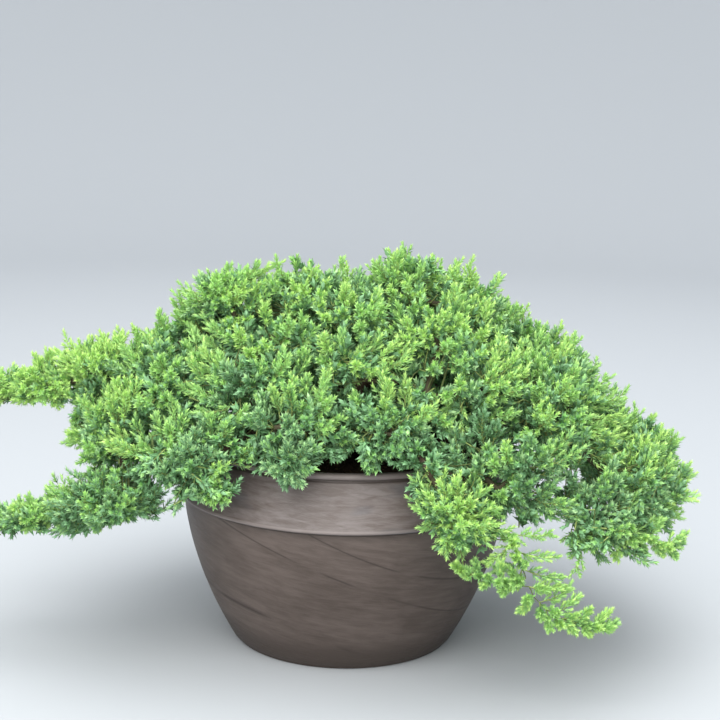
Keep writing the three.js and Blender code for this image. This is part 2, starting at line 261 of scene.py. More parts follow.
# Colours of needles, from the freshest tip to the dead ones deep inside
NEEDLE_COLOURS = {
    "tip_fresh": (0.52, 0.76, 0.24),
    "tip_light": (0.44, 0.70, 0.23),
    "tip_soft": (0.41, 0.64, 0.31),
    "leaf_bright": (0.40, 0.68, 0.25),
    "leaf_middle": (0.33, 0.59, 0.22),
    "leaf_blue": (0.26, 0.47, 0.25),
    "leaf_deep": (0.16, 0.33, 0.145),
    "leaf_old": (0.08, 0.15, 0.065),
}
# From which share of a shoot on its needles take the tip's and the middle's colour
TIP_FROM, MIDDLE_FROM = 0.72, 0.36

# What makes a spray fresh and painted lighter: an open place and a place that faces up, partly fresh
# growth and partly painted light, and one near the middle of a tuft, with painted shade towards a tuft's
# edge; and how much tufts and single sprays vary
OPEN_FRESH_AND_LIT, UP_FRESH_AND_LIT, MIDDLE_LIT_EDGE_SHADED = 0.45, 0.38, 0.22
TUFT_MOOD, SPRAY_MOOD = 0.21, 0.07

# Painted light and shade: how much lighter or darker than the others the sprays of some masses are
# painted, as a change to their fresh-and-lit score
PAINTED_LIGHT_BY_MASS = {
    "arm_high_left_1": 0.5,
    "arm_high_left_2": 0.5,
    "arm_high_left_3": 0.5,
    "hanging_spray_1": 0.2,
    "arm_low_left_1": -0.2,
    "arm_low_left_2": -0.2,
    "skirt_7": 0.1,
    "skirt_8": 0.2,
    "skirt_9": -0.2,
    "skirt_10": -0.3,
    "skirt_11": -0.3,
    "skirt_12": -0.15,
    "middle_8": 0.12,
    "middle_9": 0.12,
    "upper_7": 0.12,
}
# The colours of a spray's tips, middles and inner needles, from fresh sprays to old ones, the lighter rows
# also painted light and the darker ones painted shade, and the least fresh-and-lit score of a spray for
# each but the last
SPRAY_DRESS = [
    ("tip_fresh", "tip_light", "leaf_bright"),
    ("tip_fresh", "leaf_bright", "leaf_middle"),
    ("tip_light", "leaf_bright", "leaf_middle"),
    ("tip_light", "leaf_middle", "leaf_deep"),
    ("tip_soft", "leaf_blue", "leaf_deep"),
    ("leaf_middle", "leaf_blue", "leaf_deep"),
    ("leaf_blue", "leaf_deep", "leaf_old"),
]
DRESS_FROM = np.array([0.98, 0.80, 0.60, 0.42, 0.22, 0.0])
# The rows that sprays on open stems and sprays further in take
STEM_ROWS, INNER_ROWS = (0, 1, 2, 3), (4, 5, 6)


def unit(vectors):
    """The same vectors at length 1."""
    return vectors / np.maximum(norm(vectors, axis=-1, keepdims=True), 1e-9)


def mix(low, high, share):
    return low + (high - low) * share


# The points that a spray's bent middle line is drawn by
CURVE = ("base", "middle", "tip")


def bend_point(start, middle, end, share):
    """Points of quadratic curves at a share of their length."""
    s = share[..., None]
    return (1 - s) ** 2 * start + 2 * s * (1 - s) * middle + s**2 * end


def bend_direction(start, middle, end, share):
    s = share[..., None]
    return unit((1 - s) * (middle - start) + s * (end - middle))


def stations(curve, share, rng):
    """Points of bent lines at shares of their length, their directions and two more square to each."""
    along = bend_direction(*curve, share)
    side, across = square_to(along, unit(rng.normal(0, 1, (len(share), 1, 3))))
    return bend_point(*curve, share), along, side, across


def square_to(direction, hint):
    """Two directions square to a direction and to each other."""
    side = unit(np.cross(np.broadcast_to(hint, direction.shape), direction))
    return side, np.cross(direction, side)


def round_about(side, across, turn):
    """Directions at angles round an axis, from two directions square to it."""
    return np.cos(turn)[..., None] * side + np.sin(turn)[..., None] * across


def new_object(name, data):
    made = bpy.data.objects.new(name, data)
    bpy.context.scene.collection.objects.link(made)
    return made


def add_mesh(name, points, faces, materials, kinds=None, smooth=True):
    """An object made from arrays: faces of equal side counts, and the number of each one's material."""
    mesh = bpy.data.meshes.new(name)
    sides = faces.shape[1]
    mesh.vertices.add(len(points))
    mesh.vertices.foreach_set("co", np.asarray(points, np.float32).ravel())
    mesh.loops.add(faces.size)
    mesh.loops.foreach_set("vertex_index", np.asarray(faces, np.int32).ravel())
    mesh.polygons.add(len(faces))
    mesh.polygons.foreach_set("loop_start", np.arange(0, faces.size, sides, dtype=np.int32))
    for material in materials:
        mesh.materials.append(material)
    if kinds is not None:
        mesh.polygons.foreach_set("material_index", np.asarray(kinds, np.int32))
    mesh.polygons.foreach_set("use_smooth", np.full(len(faces), smooth))
    mesh.update(calc_edges=True)
    mesh.validate()
    return new_object(name, mesh)


def add_piece(name, points, faces, materials, replaced=(), kinds=None, smooth=True):
    """A mesh that rides on the plant's one body."""
    piece = add_mesh(name, points, faces, materials, kinds, smooth)
    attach(piece, "root")
    if replaced:
        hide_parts(*replaced)


def grid_faces(rings, sides):
    """Quads between rings of points that follow each other."""
    row = np.arange(rings - 1)[:, None] * sides
    column = np.arange(sides)[None, :]
    onward = (column + 1) % sides
    quads = np.stack([row + column, row + onward, row + sides + onward, row + sides + column], -1)
    return quads.reshape(-1, 4)


def tubes(paths, radii, sides):
    """Open tubes along many paths at once. paths is tubes by rings by 3, radii is tubes by rings."""
    count, rings = radii.shape
    tangents = unit(np.gradient(paths, axis=1))
    steep = np.abs(tangents[:, 0, 2:]) > 0.8
    side = unit(np.cross(np.where(steep, [[1.0, 0.0, 0.0]], [[0.0, 0.0, 1.0]]), tangents[:, 0]))
    sideways = np.empty_like(paths)
    for ring in range(rings):
        along = tangents[:, ring]
        side = unit(side - (side * along).sum(-1, keepdims=True) * along)
        sideways[:, ring] = side
    across = np.cross(tangents, sideways)
    angle = np.arange(sides) * 2 * math.pi / sides
    circle = round_about(sideways[:, :, None], across[:, :, None], angle)
    points = paths[:, :, None] + radii[:, :, None, None] * circle
    faces = grid_faces(rings, sides)[None] + np.arange(count)[:, None, None] * rings * sides
    return points.reshape(-1, 3), faces.reshape(-1, 4)


def node_points(name):
    mesh = frame["nodes"][name].data
    points = np.empty(len(mesh.vertices) * 3, np.float32)
    mesh.vertices.foreach_get("co", points)
    return points.reshape(-1, 3).astype(float)


def node_triangles(name):
    mesh = frame["nodes"][name].data
    mesh.calc_loop_triangles()
    corners = np.empty(len(mesh.loop_triangles) * 3, np.int32)
    mesh.loop_triangles.foreach_get("vertices", corners)
    return node_points(name)[corners.reshape(-1, 3)]


def tree_of(triangles):
    """A search tree over triangles given as an array of corners."""
    points = [tuple(point) for point in triangles.reshape(-1, 3)]
    faces = [tuple(face) for face in np.arange(len(points)).reshape(-1, 3).tolist()]
    return BVHTree.FromPolygons(points, faces)


# Materials

def plain_material(name, colour, roughness, shine=0.3):
    material = bpy.data.materials.new(name)
    material.use_nodes = True
    shader = material.node_tree.nodes["Principled BSDF"]
    shader.inputs["Base Color"].default_value = (*colour, 1)
    shader.inputs["Roughness"].default_value = roughness
    shader.inputs["Specular IOR Level"].default_value = shine
    return material


class Nodes:
    """A material that short calls add shader nodes to. Each gives back one output of its new node."""

    def __init__(self, name, colour, roughness, shine):
        self.material = plain_material(name, colour, roughness, shine)
        self.tree = self.material.node_tree
        self.shader = self.tree.nodes["Principled BSDF"]
        self.place = self.add("ShaderNodeTexCoord", output="Object")

    def add(self, kind, inputs=(), output=0, **settings):
        node = self.tree.nodes.new(kind)
        for key, value in settings.items():
            setattr(node, key, value)
        for key, value in dict(inputs).items():
            self.feed(node.inputs[key], value)
        return node.outputs[output]

    def feed(self, socket, value):
        if isinstance(value, bpy.types.NodeSocket):
            self.tree.links.new(value, socket)
        else:
            socket.default_value = value

    def noise(self, vector, scale, detail=3.0, roughness=0.55, distortion=0.0):
        inputs = {"Vector": vector, "Scale": scale, "Detail": detail, "Roughness": roughness}
        return self.add("ShaderNodeTexNoise", {**inputs, "Distortion": distortion})

    def stretch(self, vector, factors):
        return self.add("ShaderNodeVectorMath", {0: vector, 1: factors}, operation="MULTIPLY")

    def streaks(self, vector, squash, *settings):
        """Noise that is drawn out level, or upright where the squash is under 1."""
        return self.noise(self.stretch(vector, (1.0, 1.0, squash)), *settings)

    def ramp(self, value, low, high, start=0.0, end=1.0):
        inputs = {"Value": value, "From Min": low, "From Max": high, "To Min": start, "To Max": end}
        return self.add("ShaderNodeMapRange", inputs, clamp=True)

    def blend(self, share, first, second):
        """A mix of two colours. The sockets 0, 6 and 7 are the colour mix's factor and its two colours."""
        return self.add("ShaderNodeMix", {0: share, 6: first, 7: second}, 2, data_type="RGBA")

    def height_of(self, vector):
        return self.add("ShaderNodeSeparateXYZ", {0: vector}, output=2)

    def turned(self, vector, slope):
        """Coordinates whose level lines slope down to the viewer's right."""
        inputs = {"Vector": vector, "Angle": -slope}
        return self.add("ShaderNodeVectorRotate", inputs, rotation_type="Y_AXIS")

    def total(self, *shares):
        """The sum of values, each times its share."""
        first, *rest = [self.maths("MULTIPLY", value, share) for value, share in shares]
        for value in rest:
            first = self.maths("ADD", first, value)
        return first

    def band(self, value, low, high, soft):
        """1 between two values, falling off softly outside them."""
        rising = self.ramp(value, low - soft, low)
        return self.maths("MULTIPLY", rising, self.ramp(value, high, high + soft, 1.0, 0.0))

    def maths(self, operation, first, second=0.0):
        return self.add("ShaderNodeMath", {0: first, 1: second}, operation=operation)

    def paint(self, colour):
        self.feed(self.shader.inputs["Base Color"], colour)

    def bump(self, height, distance, strength=1.0):
        inputs = {"Height": height, "Distance": distance, "Strength": strength}
        self.feed(self.shader.inputs["Normal"], self.add("ShaderNodeBump", inputs))


def bark_material():
    """Brown stringy bark: long fibres with grey-brown flakes."""
    nodes = Nodes("bark", (0.16, 0.10, 0.065), 0.85, 0.2)
    place = nodes.place
    fibres = nodes.streaks(place, 0.35, 420.0, 4.0, 0.6)
    flakes = nodes.noise(place, 90.0, 3.0)
    brown = nodes.blend(nodes.ramp(fibres, 0.35, 0.65), (0.038, 0.026, 0.017, 1), (0.11, 0.076, 0.050, 1))
    nodes.paint(nodes.blend(nodes.ramp(flakes, 0.5, 0.7), brown, (0.14, 0.115, 0.090, 1)))
    nodes.bump(fibres, 0.0006)
    return nodes.material


def compost_material():
    """Dark damp compost with paler fibres."""
    nodes = Nodes("compost", (0.04, 0.027, 0.018), 0.95, 0.15)
    place = nodes.place
    grain = nodes.noise(place, 260.0, 5.0, 0.7)
    clods = nodes.noise(place, 60.0, 3.0)
    dark = nodes.blend(nodes.ramp(grain, 0.4, 0.7), (0.02, 0.013, 0.009, 1), (0.08, 0.052, 0.034, 1))
    nodes.paint(nodes.blend(nodes.ramp(clods, 0.45, 0.75), dark, (0.05, 0.036, 0.025, 1)))
    nodes.bump(grain, 0.0015)
    return nodes.material


def pot_material():
    """Brown-grey moulded plastic with short brushed smears, a few thin dark lines and a paler collar, with
    painted shade near the foot, under the collar and in the rim's groove, and painted highlights on the
    rim bead and the collar's foot edge.
    """
    nodes = Nodes("pot_plastic", (0.13, 0.11, 0.10), 0.5, 0.45)
    place = nodes.place
    height = nodes.height_of(place)
    brushed = nodes.turned(place, SMEAR_SLOPE)
    smears = nodes.streaks(brushed, 7.0, 34.0, 5.0, 0.62, 0.5)
    fibres = nodes.streaks(brushed, 9.0, 120.0, 4.0, 0.6, 0.3)
    patches = nodes.streaks(brushed, 2.2, 15.0, 3.0, 0.55, 0.4)
    grain = nodes.total((smears, 0.42), (fibres, 0.24), (patches, 0.34))
    body = nodes.blend(nodes.ramp(grain, 0.40, 0.60), (0.058, 0.042, 0.034, 1), (0.102, 0.078, 0.067, 1))
    scratched = nodes.stretch(nodes.turned(place, LINE_SLOPE), (0.12, 0.12, 1.0))
    ridge = nodes.maths("ABSOLUTE", nodes.maths("SUBTRACT", nodes.noise(scratched, 22.0, 0.0), 0.5))
    where = nodes.ramp(nodes.noise(place, 13.0, 1.0), 0.48, 0.56)
    line = nodes.maths("MULTIPLY", nodes.ramp(ridge, 0.0, 0.018, 0.9, 0.0), where)
    body = nodes.blend(line, body, (0.030, 0.020, 0.016, 1))
    body = nodes.blend(nodes.band(height, 0.0, FOOT_SHADE, FOOT_SHADE), body, (0.050, 0.036, 0.029, 1))
    # Painted shadow: a dark line on the bowl just under the collar's overhanging lip
    shadow_under_collar = nodes.band(height, COLLAR_FOOT - 3 * MM, COLLAR_FOOT, MM)
    body = nodes.blend(shadow_under_collar, body, (0.028, 0.020, 0.016, 1))
    level = nodes.streaks(place, 6.0, 40.0, 5.0, 0.64, 0.6)
    stains = nodes.streaks(place, 2.4, 24.0, 3.0, 0.6, 0.5)
    collar_grain = nodes.total((level, 0.55), (stains, 0.25), (fibres, 0.20))
    collar = nodes.blend(
        nodes.ramp(collar_grain, 0.41, 0.60), (0.090, 0.069, 0.061, 1), (0.150, 0.127, 0.122, 1)
    )
    smudge = nodes.streaks(place, 3.2, 15.0, 2.0, 0.5)
    collar = nodes.blend(nodes.ramp(smudge, 0.58, 0.70, 0.0, 0.75), collar, (0.080, 0.080, 0.090, 1))
    # Painted shade: a darker line in the groove under the rim bead
    groove_shade = nodes.band(height, POT_HEIGHT - 7.2 * MM, POT_HEIGHT - 5.2 * MM, 0.6 * MM)
    collar = nodes.blend(groove_shade, collar, (0.052, 0.040, 0.035, 1))
    # Painted highlight: lighter colour on the top of the rim bead and on the collar's rounded foot edge
    rim = nodes.ramp(height, POT_HEIGHT - 5 * MM, POT_HEIGHT - 4 * MM)
    foot = nodes.band(height, COLLAR_FOOT - MM, COLLAR_FOOT + MM, 0.5 * MM)
    edge_highlight = nodes.maths("MULTIPLY", nodes.maths("MAXIMUM", rim, foot), 0.55)
    collar = nodes.blend(edge_highlight, collar, (0.205, 0.175, 0.166, 1))
    on_collar = nodes.ramp(height, COLLAR_FOOT - 2.2 * MM, COLLAR_FOOT - 1.8 * MM)
    nodes.paint(nodes.blend(on_collar, body, collar))
    nodes.feed(nodes.shader.inputs["Roughness"], nodes.ramp(fibres, 0.3, 0.7, 0.46, 0.62))
    nodes.bump(nodes.total((fibres, 0.6), (smears, 0.4)), 0.0004, 0.6)
    return nodes.material


# The crown's foliage masses

def read_masses():
    """Each foliage solid of the frame, with the line in its middle that its sprays spread from."""
    masses = []
    for name in sorted(n for n in frame["nodes"] if n.startswith("foliage_")):
        triangles = node_triangles(name)
        points = triangles.reshape(-1, 3)
        centre = (points.min(0) + points.max(0)) / 2
        axes = np.linalg.eigh(np.cov((points - centre).T))[1]
        axis = axes[:, 2]
        if axis @ (centre * (1, 1, 0)) < 0:
            axis = -axis
        reach = np.abs((points - centre) @ axes).max(0)
        half = SPINE_SHARE * max(0.0, reach[2] - reach[1])
        habit = "hanging" if "hanging" in name else "arm" if "arm" in name or "tuft" in name else "crown"
        lean = axis
        if "skirt" in name or "middle" in name:
            plume = centre[0] > PLUMES_BEYOND
            habit = "plume" if plume else "skirt" if "skirt" in name else "crown"
            lean = unit(unit(centre * (1, 1, 0)) + LEAN_RISE * UP)
        if name == HANGING_START:
            lean = unit(np.array(HANGING_LEAN))
        masses.append(
            {
                "name": name,
                "triangles": triangles,
                "centre": centre,
                "axis": axis,
                "half": half,
                "tree": tree_of(triangles),
                "radius": norm(points - centre, axis=1).max(),
                "habit": dict(zip(HABIT, HABITS[habit])),
                "lean": lean,
                "strung": habit in STRUNG,
                # The mass's painted light and shade, added to its sprays' fresh-and-lit score
                "fresh_and_lit": PAINTED_LIGHT_BY_MASS.get(name.removeprefix("foliage_"), 0.0),
                "open": "hanging" in name and name != HANGING_START,
            }
        )
    return masses


def skin_samples(triangles, rng):
    """Random points on a mass's skin."""
    a, b, c = triangles.transpose(1, 0, 2)
    area = norm(np.cross(b - a, c - a), axis=1) / 2
    count = int(area.sum() * SKIN_SAMPLES)
    face = rng.choice(len(area), count, p=area / area.sum())
    u, v = rng.random((2, count, 1))
    over = u + v > 1
    u, v = np.where(over, 1 - u, u), np.where(over, 1 - v, v)
    return a[face] + u * (b - a)[face] + v * (c - a)[face]


def thin_order(points, room):
    """Numbers of the points, in order, that keep some room to the ones before them."""
    kept = []
    for i, point in enumerate(points):
        if not kept or ((points[kept] - point) ** 2).sum(1).min() > room**2:
            kept.append(i)
    return np.array(kept)


def openness(point, normal, tree):
    """The share of directions that nothing of the plant or pot blocks: the normal and six round it."""
    side, across = square_to(normal, UP if abs(normal[2]) < 0.8 else np.array([1.0, 0.0, 0.0]))
    start = Vector(point + normal * LOOK_FROM)
    free = 0
    for turn in range(7):
        lean = LOOK_ASIDE if turn else 0.0
        angle = turn * math.pi / 3
        aside = side * math.cos(angle) + across * math.sin(angle)
        ray = normal * math.cos(lean) + aside * math.sin(lean)
        free += tree.ray_cast(start, Vector(ray), LOOK_REACH)[0] is None
    return free / 7


def canopy(points, masses):
    """How far points lie outside the masses, taken as one flowing canopy, and which way is out."""
    total, pull = np.full(len(points), 1e-9), np.zeros_like(points)
    for mass in masses:
        near = norm(points - mass["centre"], axis=1) < mass["radius"] + BLEND_REACH
        for i in np.flatnonzero(near):
            point = Vector(points[i])
            place, normal, _, distance = mass["tree"].find_nearest(point, BLEND_REACH)
            if place is None:
                continue
            line = point - place
            sign = math.copysign(1, line.dot(normal))
            weight = math.exp(-sign * distance / BLEND)
            total[i] += weight
            pull[i] += weight * np.array(line * (sign / distance) if distance > MM else normal)
    return -BLEND * np.log(total), unit(pull)


def clear_of_openings(points):
    """Marks the points that lie in none of the crown's openings."""
    clear = np.ones(len(points), bool)
    for start, end, radius in OPENINGS:
        start, line = np.array(start) * MM, (np.array(end) - start) * MM
        along = np.clip((points - start) @ line / (line @ line), 0, 1)
        clear &= norm(points - start - along[:, None] * line, axis=1) > radius * MM
    return clear


def skin_points(masses, rng):
    """Candidate places all over the canopy, in a mixed order: points, outward directions and owners."""
    points, owners = [], []
    for index, mass in enumerate(masses):
        samples = skin_samples(mass["triangles"], rng)
        points.append(samples)
        owners.append(np.full(len(samples), index))
    points, owners = np.concatenate(points), np.concatenate(owners)
    clear = clear_of_openings(points)
    points, owners = points[clear], owners[clear]
    for _ in range(BLEND_STEPS):
        height, outward = canopy(points, masses)
        points = points - np.clip(height, -BLEND_STEP, BLEND_STEP)[:, None] * outward
    height, outward = canopy(points, masses)
    order = rng.permutation(np.flatnonzero(np.abs(height) < 2 * MM))
    return [rows[order] for rows in (points, outward, owners)]


def choose_places(candidates, rooms, tree, least_open):
    """The candidates that keep their room to those before them and that the air reaches."""
    points, normals, owners = candidates
    kept, kept_points, kept_open = [], np.empty((0, 3)), []
    for i in range(len(points)):
        if kept and ((kept_points - points[i]) ** 2).sum(1).min() < rooms[i] ** 2:
            continue
        free = openness(points[i], normals[i], tree)
        if free < least_open:
            continue
        kept.append(i)
        kept_points = np.vstack([kept_points, points[i]])
        kept_open.append(free)
    return {
        "skin": points[kept],
        "normal": normals[kept],
        "owner": owners[kept],
        "free": np.array(kept_open),
    }


def by_owner(masses, owner, key):
    """A value of its mass for each spray."""
    return np.array([mass[key] for mass in masses])[owner]


def habit_of(masses, owner, key):
    """A habit's value for each spray, as a column."""
    values = np.array([mass["habit"][key] for mass in masses])[owner]
    return values if values.ndim > 1 else values[:, None]


def spines_of(masses, owner, points):
    """The nearest point of its mass's middle line for each point."""
    spines = np.empty_like(points)
    for index, mass in enumerate(masses):
        mine = owner == index
        along = np.clip((points[mine] - mass["centre"]) @ mass["axis"], -mass["half"], mass["half"])
        spines[mine] = mass["centre"] + along[:, None] * mass["axis"]
    return spines


def stands_out(point, tree):
    """How far a point stands out of the foliage solids, 0 inside them."""
    place, normal, _, distance = tree.find_nearest(Vector(point))
    return distance if (Vector(point) - place).dot(normal) > 0 else 0.0


def outside(points, tree):
    """Marks the points that lie outside the foliage solids."""
    return np.array([stands_out(point, tree) > 0 for point in points])


def draw_in(points, spines, tree):
    """The same points, with those outside the foliage solids moved halfway to the middle of their mass."""
    return np.where(outside(points, tree)[:, None], mix(points, spines, 0.5), points)


def bundle(base, middle, tip, length, **more):
    """Sprays, as the bent middle line and length of each."""
    return {"base": base, "middle": middle, "tip": tip, "length": length.ravel(), **more}


def pick(sprays, mine):
    """The same sprays, only those that are marked."""
    return {key: sprays[key][mine] for key in (*CURVE, "length")}


def lay_outer_sprays(masses, places, tree, rng):
    """The outer sprays' bent middle lines, from bases that gather in tufts to tips on the skin."""
    skin, normal, owner = places["skin"], places["normal"], places["owner"]
    count = len(skin)
    spine = spines_of(masses, owner, skin)
    lean = by_owner(masses, owner, "lean")
    strung = by_owner(masses, owner, "strung")[:, None]
    chosen = thin_order(skin, TUFT_ROOM)
    depth = norm(skin[chosen] - spine[chosen], axis=1)[:, None]
    inward = np.minimum(TUFT_DEEPEST, TUFT_DEPTH / depth)
    roots = mix(skin[chosen], spine[chosen], inward) - TUFT_DROP * UP
    distance = norm(skin[:, None] - skin[chosen][None], axis=2)
    tuft = distance.argmin(1)
    edge = np.clip(distance.min(1) / (TUFT_EDGE * TUFT_ROOM), 0, 1)[:, None]
    root = roots[tuft]
    lengths = habit_of(masses, owner, "length")
    stray = rng.normal(0, 1, (count, 3)) * habit_of(masses, owner, "wander")
    over = normal[:, 2:] > UNDERSIDE
    rise = habit_of(masses, owner, "lift") * over
    stands = TUFT_STANDS * rng.uniform(-1, 1, (len(chosen), 1))[tuft] * np.where(strung, ARM_STANDS, 1)
    sunk = mix(-TUFT_TOP, -TUFT_SUNK, edge**2 * np.where(strung, ARM_SUNK, 1))
    proud = sunk + rng.normal(0, UNEVEN, (count, 1))
    arm_proud = np.where(normal[:, 2:] > 0, ARM_PROUD, -ARM_UNDER)
    tip = skin + normal * (proud + stands + np.where(strung, arm_proud, 0))
    away = tip - spine
    length = np.clip(0.7 * norm(away, axis=1, keepdims=True), lengths[:, :1], lengths[:, 1:])
    length = length * rng.uniform(0.9, 1.1, (count, 1))
    forward = habit_of(masses, owner, "forward") * lean
    gather = TUFT_GATHER * ~strung
    outward = mix(0.6 * unit(away) + 0.4 * normal, unit(tip - root), gather)
    heading = unit(outward + rise * UP + forward + stray)
    base = mix(tip - heading * length, root, gather * 0.8)
    base = np.where(strung, spines_of(masses, owner, skin - lean * length), base)
    base = draw_in(base, spine, tree)
    reach = norm(tip - base, axis=1, keepdims=True)
    middle = base + unit(unit(tip - base) - 0.4 * over * UP + 0.5 * stray) * reach * 0.5
    more = {**places, "spine": spine, "edge": edge[:, 0], "tuft": tuft, "roots": roots}
    return bundle(base, middle, tip, reach, **more)


def lay_inner_sprays(masses, places, tree, rng):
    """Sprays under the outer ones, that close the view into the crown."""
    skin, normal, owner = places["skin"], places["normal"], places["owner"]
    count = len(skin)
    spine = spines_of(masses, owner, skin)
    room = norm(skin - spine, axis=1, keepdims=True)
    tip = skin - normal * np.minimum(rng.uniform(*INNER_DEPTH, (count, 1)), 0.5 * room)
    heading = unit(normal + 0.3 * UP + rng.normal(0, 0.5, (count, 3)))
    length = rng.uniform(*INNER_LENGTH, (count, 1))
    base = draw_in(tip - heading * length, spine, tree)
    return bundle(base, mix(base, tip, 0.5) + rng.normal(0, UNEVEN, (count, 3)), tip, length)


def lay_open_sprays(stops, lengths, rng):
    """An open stem: side sprays to both sides in turn, one at its tip, and shorter ones between them."""
    stops = np.array(stops) * MM
    far = np.concatenate([[0], norm(np.diff(stops, axis=0), axis=1).cumsum()])
    along = np.arange(0, far[-1], OPEN_STEP)
    stem = np.stack([np.interp(along, far, stops[:, k]) for k in range(3)], 1)
    count = len(stem)
    heading = unit(np.gradient(stem, axis=0))
    share = (np.arange(count) / (count - 1))[:, None]
    below = unit(np.cross(heading, [[0.0, -1.0, 0.25]]))
    below *= math.copysign(1, -below[:, 2].sum())
    side = np.where(np.arange(count) % 2, 1, -1)[:, None]
    side[-1] = 0
    between = unit(np.array([0.0, -1.0, 0.5]) + rng.normal(0, 0.5, (count, 3)))
    out = np.concatenate([below * side, between]) + rng.normal(0, 0.25, (2 * count, 3))
    base, heading, share = (np.concatenate([rows, rows]) for rows in (stem, heading, share))
    angle = mix(*OPEN_ANGLE, share) + rng.normal(0, 0.14, share.shape)
    aim = unit(heading * np.cos(angle) + unit(out) * np.sin(angle))
    lower = mix(*OPEN_LOWER, share[:count])
    size = np.concatenate([np.where(side > 0, lower, 1), np.full((count, 1), OPEN_BETWEEN)])
    length = mix(*lengths, share) * MM * size * rng.uniform(0.8, 1.15, share.shape)
    middle = base + unit(aim + 0.25 * heading) * length * 0.5
    tip = middle + unit(aim + 0.3 * UP) * length * 0.5
    return bundle(base, middle, tip, length, stem=stem)


def lay_core_sprays(outer, tree, rng):
    """Old sprays on the twigs that the tufts start from, inside the foliage solids."""
    base = outer["roots"]
    heading = unit(rng.normal(0, 1, base.shape) + 0.4 * UP)
    length = rng.uniform(*CORE_LENGTH, (len(base), 1))
    middle = base + heading * length * 0.5 + rng.normal(0, UNEVEN, base.shape)
    tip = base + heading * length
    return pick(bundle(base, middle, tip, length), ~outside(tip, tree))


def lay_limb_sprays(limbs, rng):
    """Short sprays wound round every limb, to a little beyond its end."""
    base, heading, around = [], [], []
    for limb in limbs.values():
        share = np.arange(*LIMB_SPRAYS, LIMB_SPRAY_STEP / limb["length"])
        along = limb_directions(limb, share)
        side, across = square_to(along, np.array([0.3, 1.0, 0.1]))
        turn = np.arange(len(share)) * GOLDEN_TURN + rng.normal(0, 0.3, len(share))
        base.append(limb_points(limb, share))
        heading.append(along)
        around.append(round_about(side, across, turn))
    base, heading, around = (np.concatenate(rows) for rows in (base, heading, around))
    length = rng.uniform(*LIMB_SPRAY_LENGTH, (len(base), 1))
    middle = base + unit(around + 0.4 * heading) * length * 0.5
    tip = middle + unit(around + 0.9 * heading + 0.3 * UP) * length * 0.5
    return bundle(base, middle, tip, length)


# Limbs

def centreline(name, foot):
    """A limb's middle as a quadratic curve, fitted to its solid, with the radius at both ends."""
    points = node_points(name)
    distance = norm(points - foot, axis=1)
    near = points[distance < np.quantile(distance, 0.1)].mean(0)
    far = points[distance > np.quantile(distance, 0.9)].mean(0)
    chord = far - near
    share = ((points - near) @ chord) / (chord @ chord)
    powers = np.stack([np.ones_like(share), share, share**2], 1)
    curve = np.linalg.lstsq(powers, points, rcond=None)[0]
    off = norm(points - powers @ curve, axis=1)
    slope, start = np.polyfit(share, off, 1)
    return {"curve": curve, "radius": (start, start + slope), "length": norm(chord)}


def limb_points(limb, share):
    return np.stack([np.ones_like(share), share, share**2], -1) @ limb["curve"]


def limb_directions(limb, share):
    return unit(np.stack([np.zeros_like(share), np.ones_like(share), 2 * share], -1) @ limb["curve"])


def bark_relief(along, angle, seed, grain):
    """Height of stringy bark at a length along a limb and an angle round it."""
    heights = np.empty(len(along))
    for i, (s, a) in enumerate(zip(along.tolist(), angle.tolist())):
        place = Vector((math.cos(a) * grain, math.sin(a) * grain, s * 60 + seed * 7.3))
        heights[i] = 1 - 2 * abs(noise.noise(place)) + 0.5 * noise.noise(place * 2.7)
    return heights


def add_limb(node, bark, line, radii, form, seed):
    """One limb as a fine tube with bark relief, in place of its solid. Its ends lie in other pieces."""
    sides = form["sides"]
    points, faces = tubes(line[None], radii[None], sides)
    along = np.repeat(norm(np.diff(line, axis=0, prepend=line[:1]), axis=1).cumsum(), sides)
    angle = np.tile(np.arange(sides) * 2 * math.pi / sides, len(line))
    height = bark_relief(along, angle, seed, form["grain"]) * form["depth"]
    points = points + unit(points - np.repeat(line, sides, axis=0)) * height[:, None]
    add_piece(f"{node}_bark", points, faces, [bark], [node])


def trunk_foot():
    """The middle of the trunk's flat cut."""
    solid = node_points("trunk")
    return solid[solid[:, 2] < solid[:, 2].min() + MM].mean(0)


def build_trunk(bark, foot):
    """The trunk, whose flare follows its solid's own radius at each height."""
    solid = node_points("trunk")
    height = solid[:, 2]
    trunk = centreline("trunk", foot)
    line = limb_points(trunk, np.linspace(0, 1.04, 46))
    line[:, 2] = np.maximum(line[:, 2], foot[2])
    middle = limb_points(trunk, (height - foot[2]) / (height.max() - foot[2]))
    off = norm((solid - middle)[:, :2], axis=1)
    levels = np.unique(np.round(height, 4))
    radii = np.interp(line[:, 2], levels, [off[np.abs(height - z) < 3 * MM].mean() for z in levels])
    add_limb("trunk", bark, line, radii, TRUNK_BARK, 1)


def build_limbs(bark, foot):
    """The boughs and leaders, from a little inside the trunk to a little beyond their solids' ends."""
    limbs = {}
    for index, name in enumerate(sorted(n for n in frame["nodes"] if n.startswith(("bough_", "leader_")))):
        limb = centreline(name, foot)
        limbs[name] = limb
        share = np.linspace(*LIMB_ENDS, max(12, int(limb["length"] / (3 * MM))))
        add_limb(name, bark, limb_points(limb, share), mix(*limb["radius"], share), LIMB_BARK, index + 2)
    return limbs


# Twigs from the limbs to the sprays

def beyond_rim(point):
    return math.hypot(point[0], point[1]) > OPEN_BEYOND


